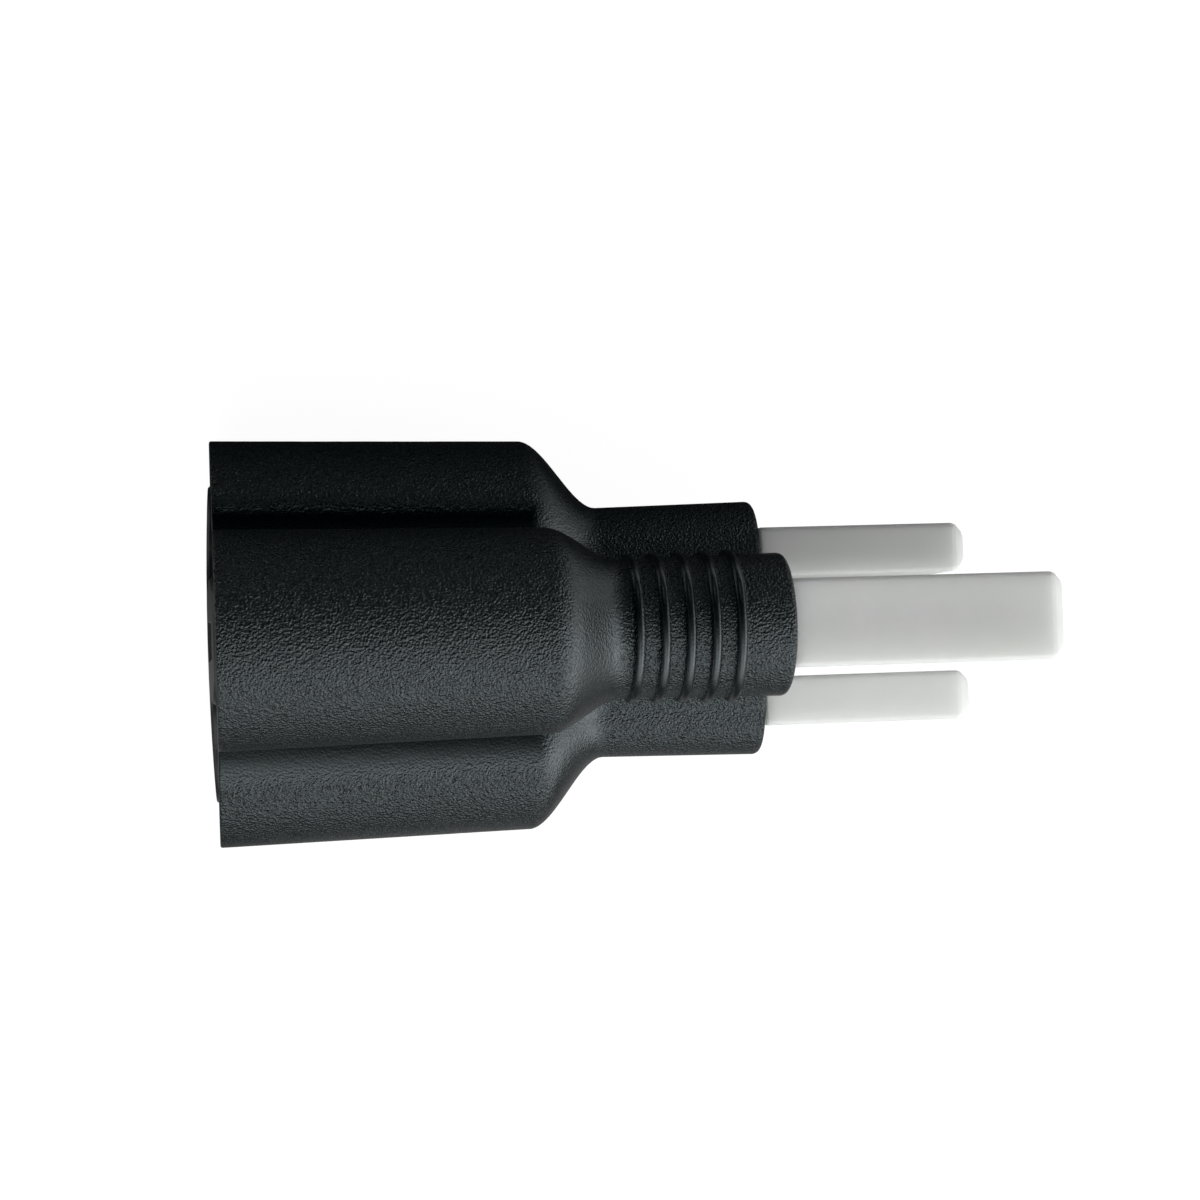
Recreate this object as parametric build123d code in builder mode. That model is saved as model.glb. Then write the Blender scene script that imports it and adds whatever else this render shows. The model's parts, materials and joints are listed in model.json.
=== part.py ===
"""Moulded three-pin plug adapter, lying on its two rear lobes.

A three-lobed socket body runs through a smooth shoulder into three round bosses,
and each boss carries one plug pin under a removable milky protective cap.
+X points out along the pins, +Z is up (the earth side), +Y is across.
Origin: centre of the bounding box in plan, on the surface the adapter lies on.
"""
from build123d import *
import math
import os

os.makedirs("parts", exist_ok=True)

# ------------------------------------------------------------------ dimensions (mm)
# lengths, measured along the plug axis from the rim of the socket face
body_len = 46.1            # rim to the ends of the three bosses
shoulder_start = 26.15     # smooth step from the lobes to the bosses
shoulder_end = 32.55
crown = 0.58               # the contact carrier stands this far proud of the rim
crown_r = 240.0            # its face is slightly domed
crown_edge = 0.22
cap_gap = 0.12             # cap mouth to boss end
line_cap_len = 18.0        # line and neutral caps
earth_cap_len = 23.0       # earth cap
blade_len = 16.1           # line and neutral blades beyond the bosses
earth_len = 20.8           # earth pin beyond its boss

# three lobes of the socket end: pitch radius and lobe radius, at the rim and at the shoulder
lobe_pitch_a, lobe_r_a = 9.66, 8.75
lobe_pitch_b, lobe_r_b = 9.64, 8.30
lobe_valley = 1.0          # hollow radius between the lobes

# plug pin pattern: parallel blades 12.7 apart, earth pin 11.88 from their line
pin_y = 6.35
line_z, earth_z = -3.96, 7.92
earth_boss_a, earth_boss_b = 5.62, 5.88    # boss radius at the shoulder and at the end
line_boss_a, line_boss_b = 4.34, 4.58
boss_valley = 3.6
boss_edge = 0.45           # rounding of the boss ends
rim_edge = 0.18            # rounding of the socket rim

# grip rings on the earth boss
ring_first, ring_pitch, ring_count = 33.28, 2.06, 5
ring_h = 0.45              # height over the boss
ring_r, ring_flank, ring_foot = 0.41, 70.0, 0.28    # crest radius, steepest flank, radius of the hollow foot

# pins
blade_w, blade_t = 6.35, 1.52
blade_hole_d, blade_hole_x = 3.1, 11.1
earth_d = 4.76
earth_bore_d = 3.0         # the earth pin is rolled and hollow
barrel_od, barrel_id = 3.6, 2.0

# protective caps
line_cap_y, line_cap_z = 4.15, 8.9
earth_cap_yz = 7.2
cap_edge = 0.4
cap_tip = 1.3              # bevelled tip, its edges eased
cap_clear = 0.14

# socket slots for flat 6.5 x 1.6 blades, on the same three centres
slot_pitch_y, slot_z, slot_earth_z = 6.86, -3.96, 7.92
slot_w, slot_t = 7.1, 2.2
slot_lead = 0.5
pocket_w, pocket_t = 8.1, 4.7
front_wall = 3.0
carrier_wall = 3.7         # overmould round the contact carrier
carrier_valley = 2.2       # hollow radius that the carrier's own outline is drawn from
seat_gap = 0.03            # clearance round the pieces that the body holds
carrier_len = 22.0
cover_t = 2.0
bridge_x0, bridge_x1 = 27.2, 31.0

# contact clips
strip = 0.7
clip_w = 6.2

# ------------------------------------------------------------------ frame
axis_z = lobe_pitch_a * 0.5 + lobe_r_a            # plug axis above the resting surface
total = crown + body_len + cap_gap + earth_cap_len
rim_x = -total / 2 + crown                        # rim of the socket face
end_x = rim_x + body_len                          # ends of the bosses


def lerp(a, b, t):
    return a + (b - a) * t


def step(x):
    t = min(1.0, max(0.0, (x - shoulder_start) / (shoulder_end - shoulder_start)))
    return t * t * (3 - 2 * t)


def lobes(x):
    """(centre y, centre z, radius) of the earth, line and neutral lobe, and the hollow radius, x from the rim."""
    s = step(x)
    a = min(1.0, x / shoulder_start)
    pitch, r = lerp(lobe_pitch_a, lobe_pitch_b, a), lerp(lobe_r_a, lobe_r_b, a)
    b = max(0.0, (x - shoulder_end) / (body_len - shoulder_end))
    re, rl = lerp(earth_boss_a, earth_boss_b, b), lerp(line_boss_a, line_boss_b, b)
    # the line and neutral lobes keep one level underneath, so the adapter lies flat on them
    ly, lz = pitch * math.cos(math.radians(30)), r - axis_z
    earth = (0.0, lerp(pitch, earth_z, s), lerp(r, re, s))
    line = (lerp(ly, pin_y, s), lerp(lz, line_z, s), lerp(r, rl, s))
    neutral = (-line[0], line[1], line[2])
    return [earth, line, neutral], lerp(lobe_valley, boss_valley, s)


def hollow(c1, c2, rf):
    """The hollow arc that joins two lobes: its start, middle and end."""
    (y1, z1, r1), (y2, z2, r2) = c1, c2
    d = math.hypot(y2 - y1, z2 - z1)
    a, b = r1 + rf, r2 + rf
    u = (a * a - b * b + d * d) / (2 * d)
    h = math.sqrt(max(0.0, a * a - u * u))
    ey, ez = (y2 - y1) / d, (z2 - z1) / d
    fy, fz = y1 + ey * u + ez * h, z1 + ez * u - ey * h
    if math.hypot(fy, fz) < math.hypot(y1 + ey * u - ez * h, z1 + ez * u + ey * h):
        fy, fz = y1 + ey * u - ez * h, z1 + ez * u + ey * h
    t1 = (y1 + (fy - y1) * r1 / a, z1 + (fz - z1) * r1 / a)
    t2 = (y2 + (fy - y2) * r2 / b, z2 + (fz - z2) * r2 / b)
    my, mz = (t1[0] + t2[0]) / 2 - fy, (t1[1] + t2[1]) / 2 - fz
    m = math.hypot(my, mz)
    return t1, (fy + my / m * rf, fz + mz / m * rf), t2


def outline(circles, rf, grow=0.0):
    """Six tangent arcs round three lobes: lobe, hollow, lobe, hollow, lobe, hollow."""
    cs = [(y, z, r + grow) for y, z, r in circles]
    rf = rf - grow
    e, l, n = cs
    el, ln, ne = hollow(e, l, rf), hollow(l, n, rf), hollow(n, e, rf)
    up = lambda p: (p[0], p[1] + axis_z)
    crest_e = (0.0, e[1] + e[2])
    crest_l = (l[0] + l[2] * math.cos(math.radians(-30)), l[1] + l[2] * math.sin(math.radians(-30)))
    crest_n = (-crest_l[0], crest_l[1])
    arcs = [
        (ne[2], crest_e, el[0]), el,
        (el[2], crest_l, ln[0]), ln,
        (ln[2], crest_n, ne[0]), ne,
    ]
    return [tuple(up(p) for p in a) for a in arcs]


def face(circles, rf, grow=0.0):
    """Draws that outline as a face in the sketch that is open."""
    with BuildLine(mode=Mode.PRIVATE) as edge:
        for a in outline(circles, rf, grow):
            ThreePointArc(*a)
    make_face(edge.edges())


# ------------------------------------------------------------------ contact carrier
carrier_circles, carrier_rf = lobes(0.0)[0], carrier_valley
pins = [("earth", 0.0, earth_z, 90), ("line", pin_y, line_z, -30), ("neutral", -pin_y, line_z, 210)]
# slot centres, and the direction of the slot's long side
slots = [("earth", 0.0, slot_earth_z, 90.0), ("line", slot_pitch_y, slot_z, 60.0), ("neutral", -slot_pitch_y, slot_z, 120.0)]

with BuildPart() as socket_insert:
    with BuildSketch(Plane.YZ.offset(rim_x - crown - 0.2)):
        face(carrier_circles, carrier_rf, -carrier_wall)
    extrude(amount=carrier_len + crown + 0.2)
    # crowned front face, its edge broken
    with Locations((rim_x - crown + crown_r, 0, axis_z)):
        Sphere(crown_r, mode=Mode.INTERSECT)
    chamfer(socket_insert.faces().sort_by(Axis.X)[0].outer_wire().edges(), crown_edge)
    for name, y, z, ang in slots:
        # blade slot through the front wall, and the contact pocket behind it
        with BuildSketch(Plane.YZ.offset(rim_x - 2)):
            with Locations((y, z + axis_z)):
                Rectangle(slot_w, slot_t, rotation=ang)
        extrude(amount=front_wall + 3, mode=Mode.SUBTRACT)
        with BuildSketch(Plane.YZ.offset(rim_x + front_wall)):
            with Locations((y, z + axis_z)):
                Rectangle(pocket_w, pocket_t, rotation=ang)
        extrude(amount=carrier_len - front_wall, mode=Mode.SUBTRACT)
        # lead-in round the slot mouth
        with BuildSketch(Plane.YZ.offset(rim_x - crown - 0.1)) as mouth:
            with Locations((y, z + axis_z)):
                Rectangle(slot_w + 2 * slot_lead + 0.3, slot_t + 2 * slot_lead + 0.3, rotation=ang)
        with BuildSketch(Plane.YZ.offset(rim_x - crown + 0.1 + slot_lead + 0.25)) as throat:
            with Locations((y, z + axis_z)):
                Rectangle(slot_w, slot_t, rotation=ang)
        loft(mode=Mode.SUBTRACT)
socket_insert.part.label = "socket_insert"

# rear cover that closes the contact pockets
with BuildPart() as insert_cover:
    with BuildSketch(Plane.YZ.offset(rim_x + carrier_len)):
        face(carrier_circles, carrier_rf, -carrier_wall)
        for name, y, z, ang in pins:
            with Locations((y, z + axis_z)):
                Circle(barrel_od / 2 + 0.03, mode=Mode.SUBTRACT)
    extrude(amount=cover_t)
insert_cover.part.label = "insert_cover"

# ------------------------------------------------------------------ female contacts
# a strip folded into a clip: two leaves that close on the blade, and a crimp barrel behind


def clip_line(side):
    """Centre line of one leaf in (x from the rim, distance from the slot plane)."""
    g = 0.68 + strip / 2
    return [
        (front_wall + 1.0, side * (g + 0.85)),
        (front_wall + 3.4, side * g),
        (front_wall + 5.2, side * g),
        (front_wall + 9.5, side * (pocket_t / 2 - strip / 2 - 0.12)),
        (carrier_len - 0.75 + strip / 2, side * (pocket_t / 2 - strip / 2 - 0.12)),
    ]


def thick(points, t):
    """A closed outline of thickness t round an open line of points."""
    left, right = [], []
    for i, (x, y) in enumerate(points):
        dirs = []
        if i > 0:
            dirs.append((x - points[i - 1][0], y - points[i - 1][1]))
        if i < len(points) - 1:
            dirs.append((points[i + 1][0] - x, points[i + 1][1] - y))
        ns = []
        for dx, dy in dirs:
            k = math.hypot(dx, dy)
            ns.append((-dy / k, dx / k))
        nx, ny = sum(n[0] for n in ns) / len(ns), sum(n[1] for n in ns) / len(ns)
        k = nx * nx + ny * ny
        left.append((x + nx / k * t / 2, y + ny / k * t / 2))
        right.append((x - nx / k * t / 2, y - ny / k * t / 2))
    return left + right[::-1]


contacts = {}
for (name, y, z, ang), (_, py, pz, _) in zip(slots, pins):
    a = math.radians(ang)
    along = Vector(0, math.cos(a), math.sin(a))            # long side of the slot
    plane = Plane(origin=(rim_x, y, z + axis_z), x_dir=(1, 0, 0), z_dir=tuple(along))
    with BuildPart() as contact:
        with BuildSketch(plane.offset(-clip_w / 2)):
            for side in (1, -1):
                with BuildLine():
                    Polyline(*thick(clip_line(side), strip), close=True)
                make_face()
            # back of the clip
            back = pocket_t / 2 - 0.12
            with Locations((carrier_len - 0.75 + strip / 2, 0)):
                Rectangle(strip, 2 * back)
        extrude(amount=clip_w)
        # crimp barrel
        with BuildSketch(Plane.YZ.offset(rim_x + carrier_len - 0.75 + strip / 2)):
            with Locations((py, pz + axis_z)):
                Circle(barrel_od / 2)
        extrude(amount=4.6)
        with BuildSketch(Plane.YZ.offset(rim_x + carrier_len + 0.3)):
            with Locations((py, pz + axis_z)):
                Circle(barrel_id / 2)
        extrude(amount=6, mode=Mode.SUBTRACT)
    contact.part.label = f"{name}_contact"
    contacts[name] = contact

# ------------------------------------------------------------------ conductors between the contacts and the pins
conductors = {}
for name, y, z, ang in pins:
    with BuildPart() as conductor:
        with BuildSketch(Plane.YZ.offset(rim_x + carrier_len + 0.5)):
            with Locations((y, z + axis_z)):
                Circle(barrel_id / 2 - 0.03)
        extrude(amount=bridge_x1 - carrier_len - 1.0)
    conductor.part.label = f"{name}_conductor"
    conductors[name] = conductor

# ------------------------------------------------------------------ pin bridge
bridge_circles = [(0.0, earth_z, 3.1), (pin_y, line_z, 3.1), (-pin_y, line_z, 3.1)]
with BuildPart() as pin_bridge:
    with BuildSketch(Plane.YZ.offset(rim_x + bridge_x0)):
        face(bridge_circles, 4.5)
        for name, y, z, ang in pins:
            with Locations((y, z + axis_z)):
                Circle(barrel_od / 2 + 0.03, mode=Mode.SUBTRACT)
    extrude(amount=bridge_x1 - bridge_x0)
pin_bridge.part.label = "pin_bridge"

# ------------------------------------------------------------------ plug pins
blades = {}
for name, y in (("line", pin_y), ("neutral", -pin_y)):
    with BuildPart() as blade:
        # flat blade, tapered at its tip
        with BuildSketch(Plane.XZ.offset(-y - blade_t / 2)):
            with Locations(((rim_x + bridge_x1 + end_x + blade_len) / 2, line_z + axis_z)):
                Rectangle(end_x + blade_len - rim_x - bridge_x1, blade_w)
        extrude(amount=blade_t)
        tip = blade.faces().sort_by(Axis.X)[-1]
        corners = tip.edges().filter_by(Axis.Y)
        fillet(corners, 1.3)
        tip_edges = blade.faces().sort_by(Axis.X)[-1].edges().filter_by(Axis.Z)
        chamfer(tip_edges, 0.45, 0.9, reference=blade.faces().sort_by(Axis.X)[-1])
        # standard hole
        with BuildSketch(Plane.XZ.offset(-y - 3)):
            with Locations((end_x + blade_hole_x, line_z + axis_z)):
                Circle(blade_hole_d / 2)
        extrude(amount=6, mode=Mode.SUBTRACT)
        # crimp barrel
        with BuildSketch(Plane.YZ.offset(rim_x + bridge_x0 - 0.3)):
            with Locations((y, line_z + axis_z)):
                Circle(barrel_od / 2)
        extrude(amount=bridge_x1 - bridge_x0 + 0.3)
        with BuildSketch(Plane.YZ.offset(rim_x + bridge_x0 - 1)):
            with Locations((y, line_z + axis_z)):
                Circle(barrel_id / 2)
        extrude(amount=bridge_x1 - bridge_x0 + 0.6, mode=Mode.SUBTRACT)
    blade.part.label = f"{name}_blade"
    blades[name] = blade

with BuildPart() as earth_pin:
    with BuildSketch(Plane.XZ):
        with BuildLine():
            xa, xb, xt = rim_x + bridge_x0 - 0.3, rim_x + bridge_x1, end_x + earth_len
            r = earth_d / 2
            zc = earth_z + axis_z
            Polyline(
                (xa, zc + barrel_id / 2), (xa, zc + barrel_od / 2), (xb, zc + barrel_od / 2), (xb, zc + r), (xt - 2.6, zc + r)
            )
            Spline((xt - 2.6, zc + r), (xt - 0.9, zc + r * 0.72), (xt, zc), tangents=((1, 0), (0, -1)))
            Polyline(
                (xt, zc), (xt - 2.0, zc), (xt - 3.2, zc + earth_bore_d / 2), (xb + 1.4, zc + earth_bore_d / 2),
                (xb + 1.4, zc + barrel_id / 2), (xa, zc + barrel_id / 2),
            )
        make_face()
    revolve(axis=Axis((0, 0, earth_z + axis_z), (1, 0, 0)))
earth_pin.part.label = "earth_pin"

# ------------------------------------------------------------------ protective caps
caps = {}
for name, y, z, ang in pins:
    wy, wz = (earth_cap_yz, earth_cap_yz) if name == "earth" else (line_cap_y, line_cap_z)
    length = earth_cap_len if name == "earth" else line_cap_len
    depth = (earth_len if name == "earth" else blade_len) + 0.35
    with BuildPart() as cap:
        with BuildSketch(Plane.YZ.offset(end_x + cap_gap)):
            with Locations((y, z + axis_z)):
                RectangleRounded(wy, wz, cap_edge)
        extrude(amount=length - cap_tip)
        # bevelled tip with eased edges
        for back, inset in ((1.0, 0.0), (0.7, 0.1), (0.22, 0.52), (0.06, 0.74), (0.0, 0.92)):
            with BuildSketch(Plane.YZ.offset(end_x + cap_gap + length - back * cap_tip)):
                with Locations((y, z + axis_z)):
                    RectangleRounded(wy - 2 * inset * cap_tip, wz - 2 * inset * cap_tip, cap_edge)
        loft(ruled=True)
        with BuildSketch(Plane.YZ.offset(end_x + cap_gap)):
            with Locations((y, z + axis_z)):
                if name == "earth":
                    Circle(earth_d / 2 + cap_clear)
                else:
                    Rectangle(blade_t + 2 * cap_clear, blade_w + 2 * cap_clear)
        extrude(amount=depth - cap_gap, mode=Mode.SUBTRACT)
    cap.part.label = f"{name}_cap"
    caps[name] = cap

# ------------------------------------------------------------------ outer body
shoulder_steps = 8
rim_steps = ((0.0, -rim_edge), (rim_edge * 0.1, -rim_edge * 0.58), (rim_edge * 0.3, -rim_edge * 0.3), (rim_edge * 0.62, -rim_edge * 0.1), (rim_edge, 0.0))
end_steps = ((boss_edge, 0.0), (boss_edge * 0.62, -boss_edge * 0.1), (boss_edge * 0.3, -boss_edge * 0.3), (boss_edge * 0.1, -boss_edge * 0.58), (0.0, -boss_edge))


def section(x, grow=0.0):
    """Draws the body's outline at x from the rim as a face in the sketch that is open."""
    circles, rf = lobes(x)
    face(circles, rf, grow)


with BuildPart() as outer_body:
    # rounded rim of the socket face
    for x, grow in rim_steps:
        with BuildSketch(Plane.YZ.offset(rim_x + x)):
            section(x, grow)
    loft(ruled=True)
    # drafted socket end
    for x in (rim_edge, shoulder_start):
        with BuildSketch(Plane.YZ.offset(rim_x + x)):
            section(x)
    loft(ruled=True)
    # smooth shoulder
    for i in range(shoulder_steps + 1):
        x = lerp(shoulder_start, shoulder_end, i / shoulder_steps)
        with BuildSketch(Plane.YZ.offset(rim_x + x)):
            section(x)
    loft()
    # three bosses, a little wider toward their ends
    for x in (shoulder_end, body_len - boss_edge):
        with BuildSketch(Plane.YZ.offset(rim_x + x)):
            section(x)
    loft(ruled=True)
    # rounded boss ends
    for back, grow in end_steps:
        with BuildSketch(Plane.YZ.offset(end_x - back)):
            section(body_len - back, grow)
    loft(ruled=True)
    # grip rings round the earth boss: a round crest that runs out in hollow feet
    for i in range(ring_count):
        x = ring_first + i * ring_pitch
        boss_r = lobes(x)[0][0][2]
        zc = earth_z + axis_z
        xc, zb = rim_x + x, zc + boss_r + ring_h - ring_r
        flank = math.radians(ring_flank)
        fx, fz = ring_r * math.sin(flank), ring_r * math.cos(flank)
        foot_x, foot_z = fx + ring_foot * math.sin(flank), fz + ring_foot * math.cos(flank)
        mid = math.radians(ring_flank / 2)
        with BuildSketch(Plane.XZ):
            with BuildLine():
                for side in (-1, 1):
                    ThreePointArc(
                        (xc + side * foot_x, zb + foot_z - ring_foot),
                        (xc + side * (foot_x - ring_foot * math.sin(mid)), zb + foot_z - ring_foot * math.cos(mid)),
                        (xc + side * fx, zb + fz),
                    )
                    Line((xc + side * foot_x, zb + foot_z - ring_foot), (xc + side * foot_x, zc + boss_r - 1.2))
                ThreePointArc((xc - fx, zb + fz), (xc, zb + ring_r), (xc + fx, zb + fz))
                Line((xc - foot_x, zc + boss_r - 1.2), (xc + foot_x, zc + boss_r - 1.2))
            make_face()
        revolve(axis=Axis((0, 0, zc), (1, 0, 0)))
    # seat of the contact carrier and its cover
    with BuildSketch(Plane.YZ.offset(rim_x - 1)):
        face(carrier_circles, carrier_rf, -carrier_wall + seat_gap)
    extrude(amount=1 + carrier_len + cover_t, mode=Mode.SUBTRACT)
    # seat of the pin bridge
    with BuildSketch(Plane.YZ.offset(rim_x + bridge_x0)):
        face(bridge_circles, 4.5, seat_gap)
    extrude(amount=bridge_x1 - bridge_x0, mode=Mode.SUBTRACT)
    # passages for the barrels, the conductors and the pins
    for name, y, z, ang in pins:
        with BuildSketch(Plane.YZ.offset(rim_x + carrier_len + cover_t - 0.1)):
            with Locations((y, z + axis_z)):
                Circle(barrel_od / 2 + seat_gap)
        extrude(amount=bridge_x0 - carrier_len - cover_t + 0.2, mode=Mode.SUBTRACT)
        with BuildSketch(Plane.YZ.offset(rim_x + bridge_x1 - 0.1)):
            with Locations((y, z + axis_z)):
                if name == "earth":
                    Circle(earth_d / 2 + seat_gap)
                else:
                    Rectangle(blade_t + 2 * seat_gap, blade_w + 2 * seat_gap)
        extrude(amount=body_len - bridge_x1 + 1, mode=Mode.SUBTRACT)
outer_body.part.label = "outer_body"

# ------------------------------------------------------------------ write the parts
named = [outer_body, socket_insert, insert_cover, pin_bridge, earth_pin]
named += list(contacts.values()) + list(conductors.values()) + list(blades.values()) + list(caps.values())
for built in named:
    export_step(built.part, f"parts/{built.part.label}.step")
    print(built.part.label, round(built.part.volume, 1), len(built.part.solids()))
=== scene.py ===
import bpy, json, math
from mathutils import Matrix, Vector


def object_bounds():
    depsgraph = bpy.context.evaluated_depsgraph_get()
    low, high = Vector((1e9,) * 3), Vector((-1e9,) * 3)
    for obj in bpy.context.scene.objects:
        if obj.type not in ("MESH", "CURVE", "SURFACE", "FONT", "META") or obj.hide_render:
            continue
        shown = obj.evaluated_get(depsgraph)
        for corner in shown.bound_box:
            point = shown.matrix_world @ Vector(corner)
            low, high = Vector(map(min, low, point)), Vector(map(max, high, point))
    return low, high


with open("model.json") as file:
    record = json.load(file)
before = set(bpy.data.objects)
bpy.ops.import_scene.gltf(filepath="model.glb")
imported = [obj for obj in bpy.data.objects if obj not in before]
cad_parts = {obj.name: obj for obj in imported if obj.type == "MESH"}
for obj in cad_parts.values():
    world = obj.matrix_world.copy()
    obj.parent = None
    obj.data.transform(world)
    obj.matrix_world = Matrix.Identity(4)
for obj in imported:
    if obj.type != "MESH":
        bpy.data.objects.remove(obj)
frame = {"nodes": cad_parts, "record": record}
cad_lo, cad_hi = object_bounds()
nodes = frame["nodes"]
scene = bpy.context.scene
MM = 0.001


# ---------------------------------------------------------------- node helpers
class Nodes:
    def __init__(self, name):
        self.mat = bpy.data.materials.new(name)
        self.mat.use_nodes = True
        self.t = self.mat.node_tree
        self.t.nodes.clear()
        self.out = self.t.nodes.new("ShaderNodeOutputMaterial")
        self.bsdf = self.t.nodes.new("ShaderNodeBsdfPrincipled")
        self.t.links.new(self.bsdf.outputs[0], self.out.inputs[0])
        self.coord = self.t.nodes.new("ShaderNodeTexCoord")

    def link(self, a, b):
        self.t.links.new(a, b)

    def noise(self, scale, detail=2.0, rough=0.5, distort=0.0, stretch=(1, 1, 1)):
        m = self.t.nodes.new("ShaderNodeMapping")
        m.inputs["Scale"].default_value = stretch
        self.link(self.coord.outputs["Object"], m.inputs["Vector"])
        n = self.t.nodes.new("ShaderNodeTexNoise")
        n.inputs["Scale"].default_value = scale
        n.inputs["Detail"].default_value = detail
        n.inputs["Roughness"].default_value = rough
        n.inputs["Distortion"].default_value = distort
        self.link(m.outputs[0], n.inputs["Vector"])
        return n.outputs["Fac"]

    def voronoi(self, scale, feature="SMOOTH_F1", smooth=0.6, rand=1.0):
        n = self.t.nodes.new("ShaderNodeTexVoronoi")
        n.feature = feature
        n.inputs["Scale"].default_value = scale
        n.inputs["Randomness"].default_value = rand
        if feature == "SMOOTH_F1":
            n.inputs["Smoothness"].default_value = smooth
        self.link(self.coord.outputs["Object"], n.inputs["Vector"])
        return n.outputs["Distance"]

    def math(self, op, a, b=0.0):
        n = self.t.nodes.new("ShaderNodeMath")
        n.operation = op
        for i, v in enumerate((a, b)):
            if isinstance(v, (int, float)):
                n.inputs[i].default_value = v
            else:
                self.link(v, n.inputs[i])
        return n.outputs[0]

    def ramp(self, fac, stops):
        n = self.t.nodes.new("ShaderNodeValToRGB")
        e = n.color_ramp.elements
        while len(e) < len(stops):
            e.new(0.5)
        for el, (pos, col) in zip(e, stops):
            el.position = pos
            el.color = col if len(col) == 4 else (*col, 1.0)
        self.link(fac, n.inputs[0])
        return n.outputs[0]

    def xyz(self):
        """The object coordinates in mm, one socket each."""
        n = self.t.nodes.new("ShaderNodeSeparateXYZ")
        self.link(self.coord.outputs["Object"], n.inputs[0])
        return [self.math("MULTIPLY", o, 1000.0) for o in n.outputs]

    def blend(self, value, lo, hi, a=0.0, b=1.0):
        n = self.t.nodes.new("ShaderNodeMapRange")
        n.interpolation_type = "SMOOTHSTEP"
        for i, v in enumerate((lo, hi, a, b)):
            n.inputs[1 + i].default_value = v
        self.link(value, n.inputs[0])
        return n.outputs[0]

    def reach(self, u, v, cu, cv):
        """Distance from the line at (cu, cv) that runs along the third axis."""
        du, dv = self.math("SUBTRACT", u, cu), self.math("SUBTRACT", v, cv)
        return self.math("SQRT", self.math("ADD", self.math("MULTIPLY", du, du), self.math("MULTIPLY", dv, dv)))

    def bump(self, height, strength, distance, normal=None):
        n = self.t.nodes.new("ShaderNodeBump")
        if isinstance(strength, (int, float)):
            n.inputs["Strength"].default_value = strength
        else:
            self.link(strength, n.inputs["Strength"])
        n.inputs["Distance"].default_value = distance
        self.link(height, n.inputs["Height"])
        if normal is not None:
            self.link(normal, n.inputs["Normal"])
        return n.outputs[0]

    def set(self, name, value):
        s = self.bsdf.inputs[name]
        if hasattr(value, "is_linked"):
            self.link(value, s)
        else:
            s.default_value = value


def grey(v):
    return (v, v, v)


# ---------------------------------------------------------------- materials
def pvc_material():
    n = Nodes("black_pvc_grain")
    # moulded-in grain: sharp little pebbles about 0.2 mm apart, roughened by finer noise
    pebble = n.voronoi(4800, "SMOOTH_F1", 0.45)
    mid = n.noise(5200, 1.5, 0.5)
    fine = n.noise(10000, 1.0, 0.5)
    h = n.math("ADD", n.math("MULTIPLY", pebble, 0.55), n.math("MULTIPLY", mid, 0.9))
    h = n.math("ADD", h, n.math("MULTIPLY", fine, 0.25))
    # the grain fades out on the shoulder, on the crests of the grip rings and in the creases between the lobes
    x, y, z = n.xyz()
    shoulder = n.math("MAXIMUM", n.blend(x, -8.2, -6.2, 1.0, 0.3), n.blend(x, -3.2, -1.6, 0.3, 1.0))
    along = n.math("MULTIPLY", n.blend(x, -2.0, -1.6), n.blend(x, 8.4, 8.8, 1.0, 0.0))
    boss = n.reach(y, z, 0.0, 21.5)
    crest = n.math("MULTIPLY", n.math("MULTIPLY", along, n.blend(boss, 5.86, 6.06)), n.blend(boss, 6.5, 6.8, 1.0, 0.0))
    keep = n.math("MULTIPLY", shoulder, n.math("SUBTRACT", 1.0, n.math("MULTIPLY", crest, 0.9)))
    side = n.math("ABSOLUTE", y)
    crease = n.math("MAXIMUM", n.blend(n.reach(side, z, 8.5, 18.5), 1.6, 4.4), n.blend(x, -9.0, -6.0))
    keep = n.math("MULTIPLY", keep, n.math("MAXIMUM", crease, 0.12))
    n.set("Normal", n.bump(h, keep, 0.00016))
    n.set("Base Color", n.ramp(n.noise(1400, 3.0, 0.6), [(0.3, (0.0010, 0.0022, 0.0028)), (0.7, (0.0020, 0.0034, 0.0042))]))
    rough = n.ramp(n.noise(1800, 2.0, 0.6), [(0.3, grey(0.27)), (0.7, grey(0.36))])
    n.set("Roughness", n.math("MULTIPLY", rough, n.blend(crease, 0.0, 1.0, 0.6, 1.0)))
    n.set("Specular IOR Level", 0.75)
    n.set("Specular Tint", (0.84, 0.96, 1.0, 1.0))
    return n.mat


def insert_material():
    n = Nodes("black_smooth_carrier")
    n.set("Base Color", n.ramp(n.noise(300, 3.0, 0.6), [(0.3, (0.016, 0.0165, 0.017)), (0.7, (0.024, 0.0245, 0.025))]))
    n.set("Roughness", n.ramp(n.noise(900, 3.0, 0.6), [(0.3, grey(0.32)), (0.7, grey(0.42))]))
    n.set("Normal", n.bump(n.noise(2200, 2.0, 0.5), 0.25, 0.00003))
    return n.mat


def inner_material():
    n = Nodes("natural_moulding")
    n.set("Base Color", n.ramp(n.noise(260, 3.0, 0.6), [(0.3, (0.42, 0.41, 0.37)), (0.7, (0.5, 0.49, 0.45))]))
    n.set("Roughness", n.ramp(n.noise(700, 2.0, 0.6), [(0.3, grey(0.42)), (0.7, grey(0.55))]))
    n.set("Normal", n.bump(n.noise(1800, 2.0, 0.5), 0.3, 0.00003))
    return n.mat


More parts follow.
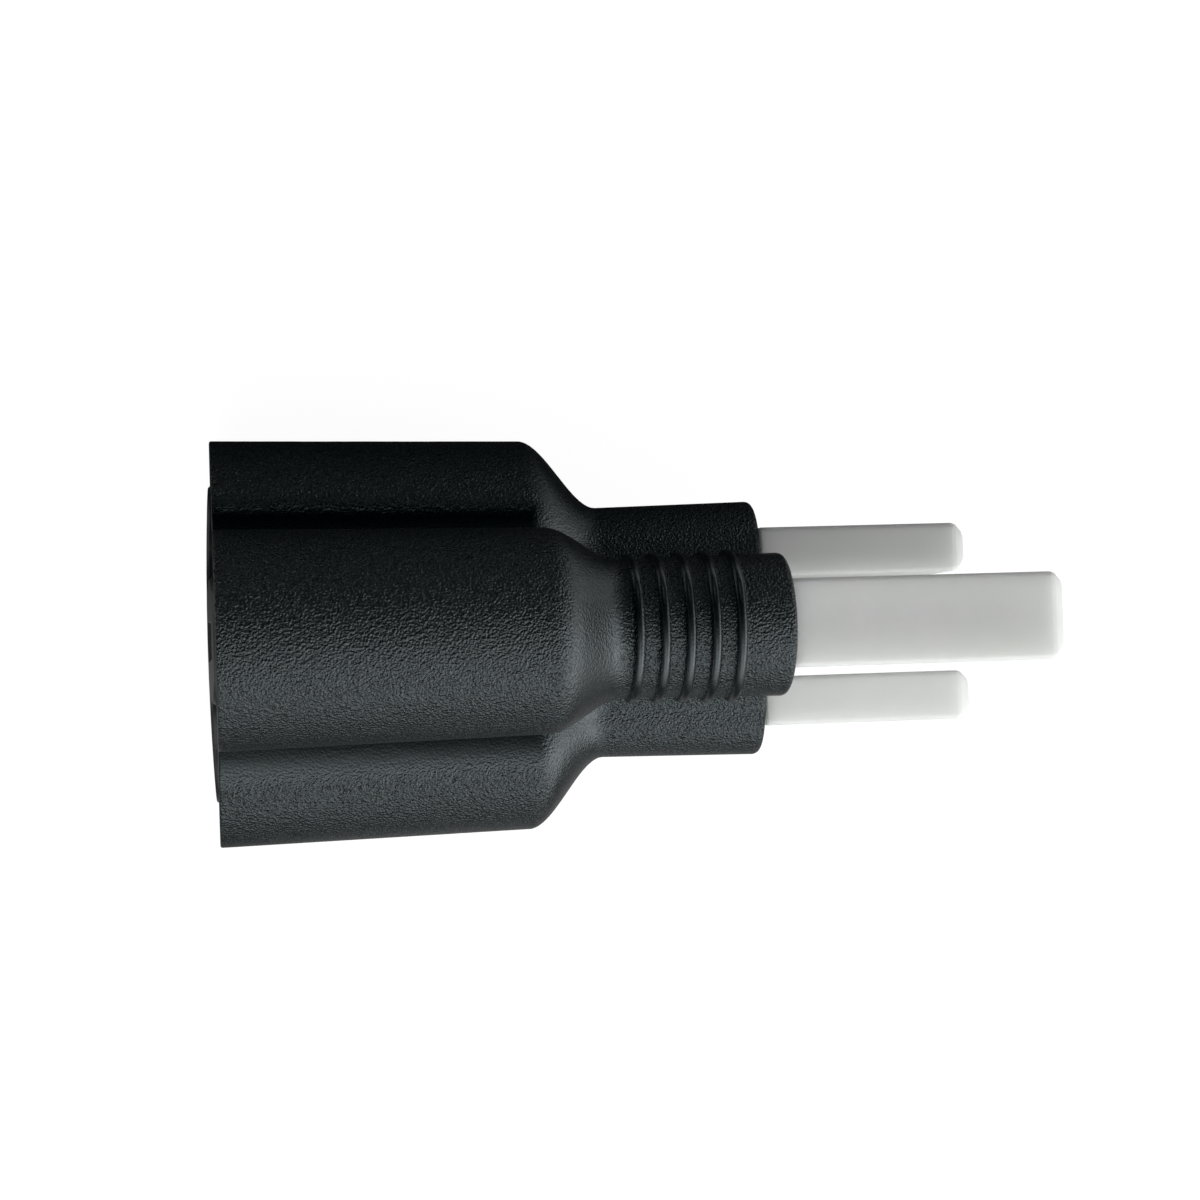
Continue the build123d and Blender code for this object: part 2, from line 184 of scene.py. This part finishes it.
def metal_material(name, lo, hi, r0, r1, stretch):
    n = Nodes(name)
    n.set("Metallic", 1.0)
    n.set("Base Color", n.ramp(n.noise(220, 3.0, 0.6), [(0.3, lo), (0.7, hi)]))
    n.set("Roughness", n.ramp(n.noise(900, 3.0, 0.6, stretch=stretch), [(0.3, grey(r0)), (0.7, grey(r1))]))
    n.set("Normal", n.bump(n.noise(1500, 3.0, 0.6, stretch=stretch), 0.25, 0.00002))
    return n.mat


def cap_material():
    n = Nodes("milky_cap")
    n.set("Base Color", n.ramp(n.noise(240, 3.0, 0.6), [(0.3, (0.87, 0.90, 0.86)), (0.7, (0.905, 0.935, 0.895))]))
    n.set("Roughness", n.ramp(n.noise(1200, 3.0, 0.6), [(0.3, grey(0.5)), (0.7, grey(0.62))]))
    n.set("Specular IOR Level", 0.3)
    n.set("Subsurface Weight", 1.0)
    n.set("Subsurface Radius", (1.0, 1.0, 0.95))
    n.set("Subsurface Scale", 0.0024)
    n.set("Normal", n.bump(n.noise(2600, 2.0, 0.5), 0.2, 0.00003))
    return n.mat


MATS = {
    "body_pvc": pvc_material(),
    "carrier_plastic": insert_material(),
    "inner_plastic": inner_material(),
    "contact_brass": metal_material("rolled_brass", (0.62, 0.42, 0.17), (0.74, 0.54, 0.25), 0.28, 0.42, (0.15, 1, 1)),
    "copper": metal_material("drawn_copper", (0.66, 0.34, 0.2), (0.76, 0.44, 0.29), 0.28, 0.42, (0.15, 1, 1)),
    "pin_nickel": metal_material("nickel_pin", (0.5, 0.48, 0.45), (0.6, 0.58, 0.55), 0.24, 0.38, (0.15, 1, 1)),
    "cap_pe": cap_material(),
}
for sp in frame["record"]["subparts"]:
    o = nodes[sp["node"]]
    o.data.materials.clear()
    o.data.materials.append(MATS[sp["material_slot"]])
    # the milky caps let so much light through that they cast next to no shadow
    o.visible_shadow = sp["material_slot"] != "cap_pe"

# ---------------------------------------------------------------- stage: floor, light, camera
bpy.ops.mesh.primitive_plane_add(size=4.0, location=(0, 0, cad_lo.z - 0.00002))
floor = bpy.context.object
floor.name = "floor"
n = Nodes("pale_floor")
# pale and even to the camera; a small white card under the object, dark beyond it, for light and reflections
n.set("Base Color", n.ramp(n.noise(8, 2.0, 0.5), [(0.3, grey(0.19)), (0.7, grey(0.21))]))
n.set("Roughness", 0.8)
n.set("Specular IOR Level", 0.1)
glow = n.t.nodes.new("ShaderNodeEmission")
glow.inputs[1].default_value = 0.95
add = n.t.nodes.new("ShaderNodeAddShader")
n.link(n.bsdf.outputs[0], add.inputs[0])
n.link(glow.outputs[0], add.inputs[1])
sq = n.t.nodes.new("ShaderNodeMapping")
sq.inputs["Scale"].default_value = (0.62, 1.0, 0.0)
sq.inputs["Location"].default_value = (0.006, 0.0, 0.0)
n.link(n.coord.outputs["Object"], sq.inputs["Vector"])
ln = n.t.nodes.new("ShaderNodeVectorMath")
ln.operation = "LENGTH"
n.link(sq.outputs[0], ln.inputs[0])
card = n.ramp(n.math("MULTIPLY", ln.outputs["Value"], 10.0), [(0.22, grey(1.0)), (0.30, grey(0.22))])
dim = n.t.nodes.new("ShaderNodeBsdfDiffuse")
dim.inputs[0].default_value = (0.025, 0.025, 0.025, 1.0)
soft = n.t.nodes.new("ShaderNodeEmission")
half = n.t.nodes.new("ShaderNodeSeparateXYZ")
n.link(n.coord.outputs["Object"], half.inputs[0])
n.link(card, soft.inputs[0])
n.link(n.blend(half.outputs[1], -0.012, 0.012, 0.34, 0.012), soft.inputs[1])
ahead = n.t.nodes.new("ShaderNodeEmission")
n.link(n.math("ADD", n.blend(half.outputs[0], 0.03, 0.07, 0.0, 0.8), n.blend(half.outputs[0], -0.1, -0.05, 0.8, 0.0)), ahead.inputs[1])
under = n.t.nodes.new("ShaderNodeAddShader")
n.link(soft.outputs[0], under.inputs[0])
n.link(ahead.outputs[0], under.inputs[1])
both = n.t.nodes.new("ShaderNodeAddShader")
n.link(dim.outputs[0], both.inputs[0])
n.link(under.outputs[0], both.inputs[1])
path = n.t.nodes.new("ShaderNodeLightPath")
mix = n.t.nodes.new("ShaderNodeMixShader")
n.link(path.outputs["Is Camera Ray"], mix.inputs[0])
n.link(both.outputs[0], mix.inputs[1])
n.link(add.outputs[0], mix.inputs[2])
n.link(mix.outputs[0], n.out.inputs[0])
floor.data.materials.append(n.mat)

# studio light: broad soft lobes (azimuth from +X, elevation, strength, sharpness), and a pale backdrop
LOBES = [
    (271, 12, 1.9, 9),
    (325, 10, 3.8, 9),
    (2, 14, 1.6, 15),
    (264, 47, 1.8, 14),
    (270, 76, 0.1, 16),
    (90, 36, 1.6, 120),
    (180, 8, 0.4, 16),
    (205, 38, 0.2, 12),
]
world = bpy.data.worlds.new("studio")
scene.world = world
world.use_nodes = True
wt = world.node_tree
bg = wt.nodes["Background"]
wc = wt.nodes.new("ShaderNodeTexCoord")


def wmath(op, a, b, c=0.0):
    n = wt.nodes.new("ShaderNodeMath")
    n.operation = op
    for i, v in enumerate((a, b, c)):
        if isinstance(v, (int, float)):
            n.inputs[i].default_value = v
        else:
            wt.links.new(v, n.inputs[i])
    return n.outputs[0]


total = None
for az, el, strength, sharp in LOBES:
    a, e = math.radians(az), math.radians(el)
    d = wt.nodes.new("ShaderNodeVectorMath")
    d.operation = "DOT_PRODUCT"
    d.inputs[1].default_value = (math.cos(e) * math.cos(a), math.cos(e) * math.sin(a), math.sin(e))
    wt.links.new(wc.outputs["Generated"], d.inputs[0])
    lobe = wmath("EXPONENT", wmath("MULTIPLY_ADD", d.outputs["Value"], sharp, -sharp), 0.0)
    total = wmath("MULTIPLY_ADD", lobe, strength, 0.005 if total is None else total)
bg.inputs[0].default_value = (1.0, 1.0, 1.0, 1.0)
wt.links.new(total, bg.inputs[1])
backdrop = wt.nodes.new("ShaderNodeBackground")
backdrop.inputs[0].default_value = (1.0, 1.0, 1.0, 1.0)
backdrop.inputs[1].default_value = 1.05
wp = wt.nodes.new("ShaderNodeLightPath")
wx = wt.nodes.new("ShaderNodeMixShader")
wt.links.new(wp.outputs["Is Camera Ray"], wx.inputs[0])
wt.links.new(bg.outputs[0], wx.inputs[1])
wt.links.new(backdrop.outputs[0], wx.inputs[2])
wt.links.new(wx.outputs[0], wt.nodes["World Output"].inputs[0])

cam_d = bpy.data.cameras.new("camera")
cam = bpy.data.objects.new("camera", cam_d)
scene.collection.objects.link(cam)
cam_d.sensor_width = 36.0
cam_d.lens = 36.0 * 2586.2 / 1200.0
cam_d.clip_start = 0.01
cam_d.clip_end = 20.0
yaw, pitch, roll = math.radians(-8.661), math.radians(1.773), math.radians(-1.922)
cam.rotation_mode = "QUATERNION"
cam.rotation_quaternion = (Matrix.Rotation(yaw, 3, "Y") @ Matrix.Rotation(pitch, 3, "X") @ Matrix.Rotation(roll, 3, "Z")).to_quaternion()
cam.location = (-0.034919, -0.004097, 0.228991)
scene.camera = cam
scene.view_settings.view_transform = "Standard"
# the camera's black point
scene.view_settings.use_curve_mapping = True
scene.view_settings.curve_mapping.black_level = (0.0010, 0.0006, 0.0005)
scene.view_settings.curve_mapping.update()
